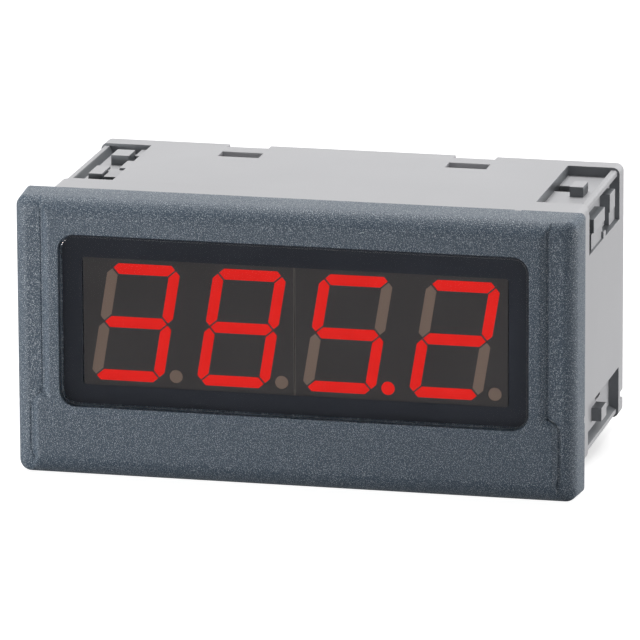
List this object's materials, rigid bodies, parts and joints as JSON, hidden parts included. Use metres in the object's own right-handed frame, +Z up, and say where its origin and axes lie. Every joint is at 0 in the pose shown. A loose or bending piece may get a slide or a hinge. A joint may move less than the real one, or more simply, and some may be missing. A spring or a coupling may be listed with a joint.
{
  "type": "digital panel meter",
  "caption": "Rectangular panel meter with a lit seven-segment display, moulded bezel, sleeve housing and pull-off screw terminals at the rear.",
  "frame": {"origin": "Centre of the panel cut-out, in the plane where the bezel's back rests on the panel.", "axes": "+X right and +Z up as seen from the front; +Y towards the rear. The display faces -Y."},
  "size_m": [0.096, 0.064, 0.048],
  "materials": {
    "bezel_plastic": "fine spark-eroded grain",
    "smoked_filter": "polished, smoked",
    "display_plastic": "matt",
    "lit_resin": "lit from behind",
    "unlit_resin": "diffusing resin",
    "tinned_metal": "tinned",
    "gilt_metal": "thin gold plating",
    "circuit_board": "solder resist",
    "black_plastic": "moulded",
    "ferrite": "sintered, ground",
    "cream_plastic": "moulded",
    "winding_tape": "polyester tape",
    "capacitor_sleeve": "shrink sleeve",
    "varistor_coat": "epoxy coat",
    "fuse_plastic": "moulded",
    "resistor_coat": "lacquer",
    "housing_plastic": "fine matt moulding",
    "terminal_plastic": "moulded",
    "plated_steel": "zinc plated"
  },
  "bodies": {
    "meter": {"front_bezel": "bezel_plastic", "window": "smoked_filter", "display_left": "display_plastic", "display_right": "display_plastic", "segments_lit": "lit_resin", "segments_unlit": "unlit_resin", "display_pins": "tinned_metal", "display_board": "circuit_board", "display_driver": "black_plastic", "segment_resistors": "black_plastic", "link_header": "black_plastic", "link_pins": "gilt_metal", "main_board": "circuit_board", "transformer_core": "ferrite", "transformer_bobbin": "cream_plastic", "transformer_winding": "winding_tape", "bulk_capacitor": "capacitor_sleeve", "output_capacitor": "capacitor_sleeve", "varistor": "varistor_coat", "fuse": "fuse_plastic", "bridge_rectifier": "black_plastic", "supply_controller": "black_plastic", "optocoupler": "cream_plastic", "microcontroller": "black_plastic", "converter_chip": "black_plastic", "crystal": "tinned_metal", "input_resistors": "resistor_coat", "housing": "housing_plastic", "rear_cover": "housing_plastic", "supply_header": "terminal_plastic", "supply_header_pins": "tinned_metal", "input_header": "terminal_plastic", "input_header_pins": "tinned_metal"},
    "supply_plug_body": {"supply_plug": "terminal_plastic", "supply_contacts": "tinned_metal"},
    "input_plug_body": {"input_plug": "terminal_plastic", "input_contacts": "tinned_metal"},
    "supply_screw_1_body": {"supply_screw_1": "plated_steel"},
    "supply_screw_2_body": {"supply_screw_2": "plated_steel"},
    "input_screw_1_body": {"input_screw_1": "plated_steel"},
    "input_screw_2_body": {"input_screw_2": "plated_steel"},
    "input_screw_3_body": {"input_screw_3": "plated_steel"},
    "input_screw_4_body": {"input_screw_4": "plated_steel"},
    "supply_cage_1_body": {"supply_cage_1": "plated_steel"},
    "supply_cage_2_body": {"supply_cage_2": "plated_steel"},
    "input_cage_1_body": {"input_cage_1": "plated_steel"},
    "input_cage_2_body": {"input_cage_2": "plated_steel"},
    "input_cage_3_body": {"input_cage_3": "plated_steel"},
    "input_cage_4_body": {"input_cage_4": "plated_steel"}
  },
  "joints": [
    {"name": "supply_plug_pull", "type": "slide", "parent": "meter", "child": "supply_plug_body", "axis": [0, 1, 0], "range_m": [0, 0.012]},
    {"name": "input_plug_pull", "type": "slide", "parent": "meter", "child": "input_plug_body", "axis": [0, 1, 0], "range_m": [0, 0.012]},
    {"name": "supply_screw_1_turn", "type": "hinge", "parent": "supply_plug_body", "child": "supply_screw_1_body", "pos_m": [0.01946, 0.0466, 0], "axis": [0, 0, 1], "range_deg": [0, 2160]},
    {"name": "supply_screw_2_turn", "type": "hinge", "parent": "supply_plug_body", "child": "supply_screw_2_body", "pos_m": [0.02454, 0.0466, 0], "axis": [0, 0, 1], "range_deg": [0, 2160]},
    {"name": "input_screw_1_turn", "type": "hinge", "parent": "input_plug_body", "child": "input_screw_1_body", "pos_m": [-0.02362, 0.0466, 0], "axis": [0, 0, 1], "range_deg": [0, 2160]},
    {"name": "input_screw_2_turn", "type": "hinge", "parent": "input_plug_body", "child": "input_screw_2_body", "pos_m": [-0.01854, 0.0466, 0], "axis": [0, 0, 1], "range_deg": [0, 2160]},
    {"name": "input_screw_3_turn", "type": "hinge", "parent": "input_plug_body", "child": "input_screw_3_body", "pos_m": [-0.01346, 0.0466, 0], "axis": [0, 0, 1], "range_deg": [0, 2160]},
    {"name": "input_screw_4_turn", "type": "hinge", "parent": "input_plug_body", "child": "input_screw_4_body", "pos_m": [-0.00838, 0.0466, 0], "axis": [0, 0, 1], "range_deg": [0, 2160]},
    {"name": "supply_cage_1_rise", "type": "slide", "parent": "supply_plug_body", "child": "supply_cage_1_body", "axis": [0, 0, 1], "range_m": [0, 0.003]},
    {"name": "supply_cage_2_rise", "type": "slide", "parent": "supply_plug_body", "child": "supply_cage_2_body", "axis": [0, 0, 1], "range_m": [0, 0.003]},
    {"name": "input_cage_1_rise", "type": "slide", "parent": "input_plug_body", "child": "input_cage_1_body", "axis": [0, 0, 1], "range_m": [0, 0.003]},
    {"name": "input_cage_2_rise", "type": "slide", "parent": "input_plug_body", "child": "input_cage_2_body", "axis": [0, 0, 1], "range_m": [0, 0.003]},
    {"name": "input_cage_3_rise", "type": "slide", "parent": "input_plug_body", "child": "input_cage_3_body", "axis": [0, 0, 1], "range_m": [0, 0.003]},
    {"name": "input_cage_4_rise", "type": "slide", "parent": "input_plug_body", "child": "input_cage_4_body", "axis": [0, 0, 1], "range_m": [0, 0.003]}
  ],
  "couplings": [
    {"joint": "supply_screw_1_turn", "follows": "supply_cage_1_rise", "rad_per_m": 12566},
    {"joint": "supply_screw_2_turn", "follows": "supply_cage_2_rise", "rad_per_m": 12566},
    {"joint": "input_screw_1_turn", "follows": "input_cage_1_rise", "rad_per_m": 12566},
    {"joint": "input_screw_2_turn", "follows": "input_cage_2_rise", "rad_per_m": 12566},
    {"joint": "input_screw_3_turn", "follows": "input_cage_3_rise", "rad_per_m": 12566},
    {"joint": "input_screw_4_turn", "follows": "input_cage_4_rise", "rad_per_m": 12566}
  ]
}
